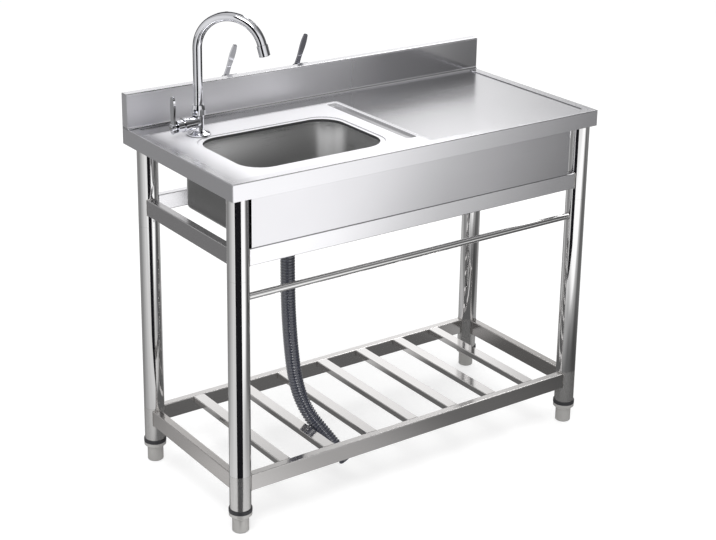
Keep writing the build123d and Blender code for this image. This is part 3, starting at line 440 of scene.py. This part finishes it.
# Zones of the worktop's metal, in metres. A pair is where a zone starts or ends: between the two, its look
# comes or goes.
FIELD_LEVEL = 0.848                                          # the deck inside its raised border
LEDGE_LEVEL = FIELD_LEVEL - 0.0025                           # the ledge round the bowl's opening
TRAY_LEVEL = FIELD_LEVEL - 0.006
SPLASH_TOP = 0.935
TRAY_LEFT = -0.011
FIELD_FRONT = (-0.249, -0.247)
FIELD_BACK = (0.160, 0.162)                                  # behind the bead, in front of the splashback
FIELD_SIDE = (0.498, 0.500)
SUNK_START = (TRAY_LEVEL - 0.004, TRAY_LEVEL - 0.003)        # the tray, and the ledge with its lip
DECK_START = (FIELD_LEVEL - 0.0008, FIELD_LEVEL - 0.0004)
DECK_END = (FIELD_LEVEL + 0.004, FIELD_LEVEL + 0.005)        # over the border
TRAY_END = (FIELD_LEVEL - 0.0022, FIELD_LEVEL - 0.0008)      # from its floor up
TRAY_SIDE = (TRAY_LEFT - 0.002, TRAY_LEFT - 0.001)
LIP_END = (LEDGE_LEVEL - 0.0006, LEDGE_LEVEL - 0.0002)
LIP_SIDE = (TRAY_LEFT - 0.012, TRAY_LEFT - 0.010)
SPLASH_START = (FIELD_LEVEL + 0.002, FIELD_LEVEL + 0.012)
SPLASH_END = (SPLASH_TOP - 0.007, SPLASH_TOP - 0.001)
SINK_RIGHT = (0.027, 0.028)                                  # the blasted sink end stops at the pressed bead
SINK_BACK = (0.143, 0.144)
FRONT_FOLD = (-0.2712, -0.2704)                              # the border turns down into the skirt
BORDER_FADE = (-0.20, 0.25)                                  # the blasting fades out along the border
WORN_END = (-0.53, -0.44)                                    # and is worn off at the left end
SPLASH_GLOSS = (-0.02, 0.26)                                 # the splashback is glossier right of here

# Brightness of those zones. The different greys of the one brushed sheet on the skirt, the splashback and the
# drainer deck are painted shade.
BLASTED = 0.97
SKIRT_PAINTED_SHADE = 0.86
SPLASHBACK_PAINTED_SHADE = 0.79
DRAINER_PAINTED_SHADE = 0.64
TRAY = 0.50
LIP_PAINTED_SHADE = 0.06                       # painted shade: the dark line round the bowl's opening

COOL = (1, 0.995, 1.025)         # red, green and blue of the worktop's grey

BORDER_BLASTED = 0.80            # share of the blasting on the border, left of where it fades out
WORN_BLASTED = 0.12              # and what is left of it at the worn end
BLASTED_DULL = 0.78              # how much less metallic the blasted zone is
TRAY_DULL = 0.45                 # and the tray
BLASTED_ROUGH = 0.45
BRUSHED_ROUGH = (0.19, 0.27)     # across the grain
SPLASH_ROUGH = (0.42, 0.12)      # from the left to the glossier right
CLOUDS_ROUGH = (-0.03, 0.03)     # added by the clouds


def place_parts(tree):
    """The x, y and z outputs of object coordinates."""
    split = add(tree, "SeparateXYZ")
    wire(tree, add(tree, "TexCoord").outputs["Object"], split.inputs[0])
    return split.outputs


def grey(tree, shade, tone):
    """A grey from a brightness, with a slight tone."""
    colour = add(tree, "CombineColor")
    feed(tree, [product(tree, shade, share) for share in tone], colour.inputs)
    return colour.outputs[0]


def worktop_steel():
    """Brushed along the unit, with painted shade in a different grey on each face and in a dark line round
    the bowl's opening; the sink end of the deck is bead-blasted, paler and without a grain.
    """
    material, tree = new_material("worktop_steel")
    shader = add(tree, "BsdfPrincipled")
    x, y, z = place_parts(tree)
    field = product(tree, rise(tree, y, *FIELD_FRONT), fall(tree, maths(tree, "ABSOLUTE", x), *FIELD_SIDE),
                    fall(tree, y, *FIELD_BACK))
    sunk = product(tree, field, rise(tree, z, *SUNK_START))
    deck = product(tree, maths(tree, "MAXIMUM", sunk, rise(tree, z, *DECK_START)), fall(tree, z, *DECK_END))
    in_tray = product(tree, fall(tree, z, *TRAY_END), rise(tree, x, *TRAY_SIDE), deck)
    lip = product(tree, fall(tree, z, *LIP_END), fall(tree, x, *LIP_SIDE), sunk)
    splash = product(tree, rise(tree, z, *SPLASH_START), fall(tree, z, *SPLASH_END))

    border = product(tree, rise(tree, x, *BORDER_FADE, BORDER_BLASTED, 0), rise(tree, y, *FRONT_FOLD))
    sink_end = blend(tree, field, border, fall(tree, x, *SINK_RIGHT))
    sink_end = product(tree, sink_end, fall(tree, y, *SINK_BACK))
    worn = rise(tree, x, *WORN_END, WORN_BLASTED, 1)
    blasted = product(tree, deck, sink_end, worn, maths(tree, "SUBTRACT", 1, in_tray))

    lines = noise(tree, (LONG, FINE, FINE), detail=4)
    clouds = noise(tree, EVEN, detail=3, size=6)
    specks = noise(tree, EVEN, detail=2, size=2500)
    # Painted shade: the one brushed sheet gets a different grey on the skirt, the splashback and the drainer
    # deck.
    brushed = blend(tree, deck, blend(tree, splash, SKIRT_PAINTED_SHADE, SPLASHBACK_PAINTED_SHADE), DRAINER_PAINTED_SHADE)
    # Painted shade: the dark line round the bowl's opening.
    level = blend(tree, lip, blend(tree, in_tray, blend(tree, blasted, brushed, BLASTED), TRAY), LIP_PAINTED_SHADE)
    grain = blend(tree, blasted, spread(tree, lines, 0.95, 1.0), spread(tree, specks, 0.97, 1.0))
    colour = grey(tree, product(tree, level, grain), COOL)
    # Painted shade in narrow gaps and inner corners.
    wire(tree, painted_crevice_shade(tree, colour, fullest=0.93), shader.inputs["Base Color"])
    metallic = maths(tree, "SUBTRACT", 1, product(tree, blasted, BLASTED_DULL))
    metallic = maths(tree, "SUBTRACT", metallic, product(tree, in_tray, TRAY_DULL))
    wire(tree, metallic, shader.inputs["Metallic"])
    splash_rough = rise(tree, x, *SPLASH_GLOSS, *SPLASH_ROUGH)
    rough = blend(tree, splash, spread(tree, lines, *BRUSHED_ROUGH), splash_rough)
    rough = blend(tree, blasted, rough, BLASTED_ROUGH)
    wire(tree, maths(tree, "ADD", rough, spread(tree, clouds, *CLOUDS_ROUGH)), shader.inputs["Roughness"])
    return finish_material(material, tree, shader, blend(tree, blasted, lines, specks), 0.05)


# The bowl's metal, with painted light and shade.
BOWL_METALLIC = 0.92
PAINTED_LIGHT_METALLIC = 0.28             # where the painted highlight streak is
TAP_END_PAINTED_LIGHT = 0.72              # how far the painted light at the tap's end goes towards that
PAINTED_DEEP_SHADE = 0.56                # painted shade: brightness of the bottom, against the opening
PAINTED_RIGHT_SHADE = 0.84               # painted shade: of the right part, against the painted light at the tap's end
PAINTED_CORNER_SHADE = 0.94              # painted shade: of the right side
PAINTED_STREAK_HIGHLIGHT = 1.19              # painted highlight: the light streak in the far right corner
# Painted shade on the outside of the bowl, under the deck.
PAINTED_OUTSIDE_SHADE = 0.30


def bowl_steel_painted_light():
    """Satin inside, painted brighter towards the opening, the tap and the far corner; painted shade on the
    pressed sheet outside.
    """
    material, tree = new_material("bowl_steel_painted_light")
    shader = add(tree, "BsdfPrincipled")
    x, y, z = place_parts(tree)
    low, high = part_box("bowl")
    left, front = low[:2]
    right, back, top = high
    bright_height = (top - 0.13, top - 0.02)
    bright_width = (left + 0.02, left + 0.22)
    painted_light_height = (top - 0.13, top - 0.03)
    painted_light_width = (left + 0.04, left + 0.38)
    corner_width = (right - 0.040, right - 0.020)
    streak_width = (right - 0.046, right - 0.026)
    streak_depth = (back - 0.080, back - 0.045)

    skin = 0.0003            # the outside is this close to the bowl's box
    outside = maths(tree, "MAXIMUM", fall(tree, x, left + skin, left + 2 * skin),
                    rise(tree, x, right - 2 * skin, right - skin))
    for edge in (fall(tree, y, front + skin, front + 2 * skin), rise(tree, y, back - 2 * skin, back - skin)):
        outside = maths(tree, "MAXIMUM", outside, edge)
    # Painted light at the tap's end and in the far right corner: the metal is less metallic there, so its
    # painted colour shows.
    tap_end_painted_light = product(tree, rise(tree, z, *painted_light_height), rise(tree, x, *painted_light_width, TAP_END_PAINTED_LIGHT, 0))
    painted_streak = product(tree, rise(tree, x, *streak_width), rise(tree, y, *streak_depth))
    painted_light_mask = product(tree, maths(tree, "MAXIMUM", tap_end_painted_light, painted_streak), maths(tree, "SUBTRACT", 1, outside))
    wire(tree, blend(tree, painted_light_mask, BOWL_METALLIC, PAINTED_LIGHT_METALLIC), shader.inputs["Metallic"])

    lines = noise(tree, (LONG, FINE, FINE), detail=4)
    clouds = noise(tree, EVEN, detail=3, size=9)
    # Painted shade lower down and to the right, and a painted highlight streak in the far right corner.
    inner = product(tree, rise(tree, z, *bright_height, PAINTED_DEEP_SHADE, 1),
                    rise(tree, x, *bright_width, 1, PAINTED_RIGHT_SHADE))
    corner = blend(tree, painted_streak, rise(tree, x, *corner_width, 1, PAINTED_CORNER_SHADE), PAINTED_STREAK_HIGHLIGHT)
    # Painted shade on the outside.
    shade = blend(tree, outside, product(tree, inner, corner), PAINTED_OUTSIDE_SHADE)
    shade = product(tree, shade, spread(tree, lines, 0.95, 1.0))
    # Painted shade in narrow gaps and inner corners.
    wire(tree, painted_crevice_shade(tree, shade), shader.inputs["Base Color"])
    rough = maths(tree, "ADD", spread(tree, lines, 0.24, 0.34), spread(tree, clouds, -0.04, 0.04))
    wire(tree, rough, shader.inputs["Roughness"])
    return finish_material(material, tree, shader, lines, 0.06)


# The parts brushed along y, which face the sides, get darker copies of the steel: painted shade.
satin_x = metal("satin_steel_x", (0.95, 0.945, 0.97), 0.19, 0.27, (LONG, FINE, FINE), 0.05, 0.04)
satin_y_painted_shade = metal("satin_steel_y_painted_shade", (0.58, 0.57, 0.58), 0.20, 0.28, (FINE, LONG, FINE), 0.05, 0.05)
satin_z = metal("satin_steel_z", (0.78, 0.77, 0.76), 0.15, 0.26, (FINE, FINE, LONG), 0.06, 0.16,
                metallic=0.92)
frame_x = metal("frame_steel_x", (0.84, 0.82, 0.81), 0.11, 0.18, (LONG, FINE, FINE), 0.05, 0.05)
frame_y_painted_shade = metal("frame_steel_y_painted_shade", (0.70, 0.675, 0.66), 0.14, 0.22, (FINE, LONG, FINE), 0.05, 0.05)
slat_y = metal("slat_steel_y", (0.96, 0.94, 0.93), 0.07, 0.12, (FINE, LONG, FINE), 0.05, 0.04)
# The apron's painted shade in gaps and corners reaches further.
apron_x = metal("apron_steel_x", (0.79, 0.785, 0.81), 0.16, 0.24, (LONG, FINE, FINE), 0.05, 0.04,
                reach=0.022)
weld_metal = metal("weld_steel", (0.60, 0.58, 0.56), 0.24, 0.40, (240, 240, 240), 0.12, 0.25)
bright_z = metal("polished_steel_tube", (0.84, 0.835, 0.835), 0.03, 0.07, (FINE, FINE, 60), 0.015, 0.03,
                 smudge=0.012)
bright_x = metal("polished_steel_rod", (0.84, 0.835, 0.835), 0.03, 0.07, (60, FINE, FINE), 0.015, 0.03,
                 smudge=0.012)
foot_metal = metal("foot_steel", (0.56, 0.55, 0.535), 0.28, 0.40, (FINE, FINE, 200), 0.08, 0.08,
                   metallic=0.45)
chrome = metal("chrome_plate", (0.84, 0.845, 0.88), 0.02, 0.05, (40, 40, 40), 0.01, 0.02, smudge=0.01)
# Painted shade: a darker copy of the chrome, for the right stop-valve lever.
chrome_painted_dark = metal("chrome_plate_painted_dark", (0.30, 0.30, 0.33), 0.05, 0.10, (40, 40, 40), 0.01, 0.03,
                    smudge=0.01)
screw_metal = metal("screw_steel", (0.62, 0.62, 0.63), 0.22, 0.36, (FINE, FINE, FINE), 0.15, 0.15)
waste_metal = metal("waste_steel", (0.76, 0.76, 0.77), 0.14, 0.24, (60, 60, FINE), 0.05, 0.06)


def moulded(name, colour, rough_low, rough_high, size, bump, coat=0.0, ior=1.5, coat_ior=1.5):
    """Plastic or rubber with a fine moulded texture, and with a glossy coat where one is given."""
    material, tree = new_material(name)
    shader = add(tree, "BsdfPrincipled")
    shader.inputs["Coat Weight"].default_value = coat
    shader.inputs["Coat Roughness"].default_value = 0.12
    shader.inputs["IOR"].default_value = ior
    shader.inputs["Coat IOR"].default_value = coat_ior
    grain = noise(tree, EVEN, detail=5, size=size)
    clouds = noise(tree, EVEN, detail=2, size=18)
    tinted = multiply(tree, colour, spread(tree, clouds, 0.8, 1.2))
    wire(tree, tinted, shader.inputs["Base Color"])
    wire(tree, spread(tree, grain, rough_low, rough_high), shader.inputs["Roughness"])
    return finish_material(material, tree, shader, grain, bump)


rubber = moulded("black_rubber", (0.025, 0.025, 0.026), 0.55, 0.8, 900, 0.3)
plastic = moulded("black_plastic", (0.03, 0.03, 0.034), 0.35, 0.55, 700, 0.2)
hose_plastic = moulded("hose_plastic", (0.026, 0.030, 0.052), 0.14, 0.26, 500, 0.10,
                       coat=1.0, ior=1.9, coat_ior=1.8)

node_material = {}
for name in nodes:
    if name.startswith("leg_tube_") or name.startswith("upper_socket_"):
        node_material[name] = bright_z
    elif name.startswith("lower_socket_"):
        node_material[name] = satin_z
    elif name.startswith("levelling_foot_"):
        node_material[name] = foot_metal
    elif name in ("lower_rail_front", "lower_rail_back"):
        node_material[name] = frame_x
    elif name in ("lower_rail_left", "lower_rail_right"):
        node_material[name] = frame_y_painted_shade
    elif name.startswith("shelf_slat_"):
        node_material[name] = slat_y
    elif name in ("upper_rail_left", "upper_rail_right"):
        node_material[name] = satin_y_painted_shade
    elif name.startswith("tap_") or name.startswith("stop_valve") or name == "spout_nut":
        node_material[name] = chrome
    else:
        node_material[name] = satin_x
node_material.update({
    "worktop": worktop_steel(), "bowl": bowl_steel_painted_light(), "towel_rod": bright_x, "deck_stiffeners": satin_y_painted_shade,
    "front_apron": apron_x, "leg_spigots": satin_z, "socket_caps": satin_z,
    "stop_valve_lever_right": chrome_painted_dark, "grub_screws": screw_metal, "valve_screws": screw_metal,
    "tap_lever_screw": screw_metal, "tap_backnut": screw_metal,
    "waste_body": waste_metal, "waste_strainer": waste_metal,
    "waste_nut": plastic, "hose_nut": plastic, "foot_inserts": plastic, "tap_gasket": rubber,
    "waste_gasket": rubber, "drain_hose": hose_plastic,
})
for name, material in node_material.items():
    slots = nodes[name].data.materials
    slots.clear()
    slots.append(material)


# ---------------------------------------------------------------- drain hose
# The middle line of the hose, as the CAD model's route has it, from its nut down to its open end.
HOSE_POINTS = (
    (-0.255, -0.069, 0.6068),
    (-0.255, -0.069, 0.478),
    (-0.251, -0.074, 0.352),
    (-0.241, -0.082, 0.236),
    (-0.223, -0.105, 0.164),
    (-0.201, -0.155, 0.117),
    (-0.183, -0.217, 0.073),
)
HOSE_CREST = 0.018
HOSE_ROOT = 0.0152
HOSE_BORE = 0.0135
RIB_PITCH = 0.0073
HOSE_SIDES = 40
RIB_STEPS = 8
BORE_STEPS = 60
RIB_ROUNDNESS = 0.6    # under 1 gives broad crests and narrow grooves


def hose_line():
    """Points along the smooth line of the hose, and its length."""
    curve = bpy.data.curves.new("hose_route", "CURVE")
    curve.dimensions = "3D"
    curve.resolution_u = 48
    spline = curve.splines.new("NURBS")
    spline.points.add(len(HOSE_POINTS) - 1)
    for point, place in zip(spline.points, HOSE_POINTS):
        point.co = (*place, 1)
    spline.order_u = 3
    spline.use_endpoint_u = True
    holder = bpy.data.objects.new("hose_route", curve)
    mesh = bpy.data.meshes.new_from_object(holder)
    line = [vertex.co.copy() for vertex in mesh.vertices]
    bpy.data.objects.remove(holder)
    bpy.data.meshes.remove(mesh)
    length = sum((b - a).length for a, b in zip(line, line[1:]))
    return line, length


def along(line, distance):
    """The point at a distance along a line of points, and the direction there."""
    for a, b in zip(line, line[1:]):
        run = (b - a).length
        if distance <= run:
            return a.lerp(b, distance / run), (b - a).normalized()
        distance -= run
    return line[-1].copy(), (line[-1] - line[-2]).normalized()


def make_hose():
    """The ribbed drain hose, with its wall and its open end."""
    line, length = hose_line()
    steps = round(length / RIB_PITCH) * RIB_STEPS
    rings = []
    for i in range(steps + 1):
        share = (i % RIB_STEPS) / RIB_STEPS
        bulge = (0.5 - 0.5 * math.cos(2 * math.pi * share)) ** RIB_ROUNDNESS
        rings.append((i / steps * length, HOSE_ROOT + (HOSE_CREST - HOSE_ROOT) * bulge))
    for i in range(BORE_STEPS + 1):
        rings.append((length * (1 - i / BORE_STEPS), HOSE_BORE))
    side = Vector((1, 0, 0))
    points = []
    for distance, radius in rings:
        centre, direction = along(line, distance)
        side = (side - direction * side.dot(direction)).normalized()
        other = direction.cross(side)
        for j in range(HOSE_SIDES):
            turn = 2 * math.pi * j / HOSE_SIDES
            points.append(centre + radius * (math.cos(turn) * side + math.sin(turn) * other))
    faces = []
    count = len(rings)
    for i in range(count):
        for j in range(HOSE_SIDES):
            k = (j + 1) % HOSE_SIDES
            below = ((i + 1) % count) * HOSE_SIDES
            faces.append((i * HOSE_SIDES + j, below + j, below + k, i * HOSE_SIDES + k))
    mesh = bpy.data.meshes.new("ribbed_hose")
    mesh.from_pydata(points, [], faces)
    mesh.polygons.foreach_set("use_smooth", [True] * len(faces))
    mesh.materials.append(hose_plastic)
    hose = bpy.data.objects.new("ribbed_hose", mesh)
    scene.collection.objects.link(hose)
    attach(hose, "unit")
    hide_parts("drain_hose")


make_hose()


# ---------------------------------------------------------------- welds
BEAD = 0.0013          # radius of a weld bead
BEAD_STEP = 0.0012
DROP_SWELL = 0.22      # how much the drops of filler swell it
DROP_TURN = 2.1        # and how fast, in radians a step
WAVER_SWELL = 0.10     # a slower change along the bead
WAVER_TURN = 0.37
LEG_RADIUS = 0.025
RAIL_CORNER = 0.002
SLAT_CORNER = 0.0015
CORNER_STEPS = 3       # steps round a corner of an outline
SLAT_TOP_GAP = 0.001   # the beads of a slat stay this far under its top
ROD_STEPS = 40
CORNERS = ("front_left", "front_right", "back_left", "back_right")


def rounded_outline(low, high, corner):
    """Points round a rectangle with rounded corners, a bead's step apart."""
    points = []
    square = ((high[0], high[1]), (low[0], high[1]), (low[0], low[1]), (high[0], low[1]))
    for turn, (a, b) in enumerate(square):
        centre = (a - math.copysign(corner, a - (low[0] + high[0]) / 2),
                  b - math.copysign(corner, b - (low[1] + high[1]) / 2))
        for step in range(CORNER_STEPS + 1):
            angle = math.pi / 2 * (turn + step / CORNER_STEPS)
            points.append((centre[0] + corner * math.cos(angle), centre[1] + corner * math.sin(angle)))
    outline = []
    for (a, b), (c, d) in zip(points, points[1:] + points[:1]):
        parts = max(1, round(math.hypot(c - a, d - b) / BEAD_STEP))
        outline += [(a + (c - a) * i / parts, b + (d - b) * i / parts) for i in range(parts)]
    return outline


def bead_path(points, closed):
    """One weld bead as a curve along points, swelling with each drop of filler."""
    curve = bpy.data.curves.new("bead", "CURVE")
    curve.dimensions = "3D"
    curve.bevel_depth = BEAD
    curve.bevel_resolution = 1
    spline = curve.splines.new("POLY")
    spline.points.add(len(points) - 1)
    for i, (point, place) in enumerate(zip(spline.points, points)):
        point.co = (*place, 1)
        point.radius = 1 + DROP_SWELL * math.sin(i * DROP_TURN) + WAVER_SWELL * math.sin(i * WAVER_TURN)
    spline.use_cyclic_u = closed
    holder = bpy.data.objects.new("bead", curve)
    mesh = bpy.data.meshes.new_from_object(holder)
    bpy.data.objects.remove(holder)
    return mesh


def ring_on_leg(leg, axis, inward, outline):
    """A closed path where a bar along x (axis 0) or y (axis 1) meets a leg, from the bar's outline."""
    ring = []
    for across, height in outline:
        reach = leg[axis] + inward * math.sqrt(LEG_RADIUS ** 2 - (across - leg[1 - axis]) ** 2)
        ring.append((reach, across, height) if axis == 0 else (across, reach, height))
    return ring, True


def make_welds():
    """Beads where the rails and the rod meet the legs, and where the slats meet the rails."""
    paths = []
    legs = {}
    for corner in CORNERS:
        low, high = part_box("lower_socket_" + corner)
        legs[corner] = ((low[0] + high[0]) / 2, (low[1] + high[1]) / 2)
    for level in ("upper", "lower"):
        for side in ("front", "back", "left", "right"):
            low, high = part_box(f"{level}_rail_{side}")
            axis = 0 if side in ("front", "back") else 1
            outline = rounded_outline((low[1 - axis], low[2]), (high[1 - axis], high[2]), RAIL_CORNER)
            start, end = (legs[corner] for corner in CORNERS if side in corner)
            paths += [ring_on_leg(start, axis, 1, outline), ring_on_leg(end, axis, -1, outline)]
    low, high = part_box("towel_rod")
    radius = (high[2] - low[2]) / 2
    turns = [2 * math.pi * i / ROD_STEPS for i in range(ROD_STEPS)]
    outline = [((low[1] + high[1]) / 2 + radius * math.cos(turn), low[2] + radius + radius * math.sin(turn))
               for turn in turns]
    paths += [ring_on_leg(legs["front_left"], 0, 1, outline),
              ring_on_leg(legs["front_right"], 0, -1, outline)]
    for name in nodes:
        if name.startswith("shelf_slat_"):
            low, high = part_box(name)
            outline = rounded_outline((low[0], low[2]), (high[0], high[2]), SLAT_CORNER)
            under = [(x, z) for x, z in outline if z < high[2] - SLAT_TOP_GAP]
            for y in (low[1], high[1]):
                paths.append(([(x, y, z) for x, z in under], False))
    points = []
    faces = []
    for path, closed in paths:
        mesh = bead_path(path, closed)
        first = len(points)
        points += [vertex.co.copy() for vertex in mesh.vertices]
        faces += [[first + i for i in face.vertices] for face in mesh.polygons]
        bpy.data.meshes.remove(mesh)
    mesh = bpy.data.meshes.new("weld_beads")
    mesh.from_pydata(points, [], faces)
    mesh.polygons.foreach_set("use_smooth", [True] * len(faces))
    mesh.materials.append(weld_metal)
    welds = bpy.data.objects.new("weld_beads", mesh)
    scene.collection.objects.link(welds)
    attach(welds, "unit")


make_welds()
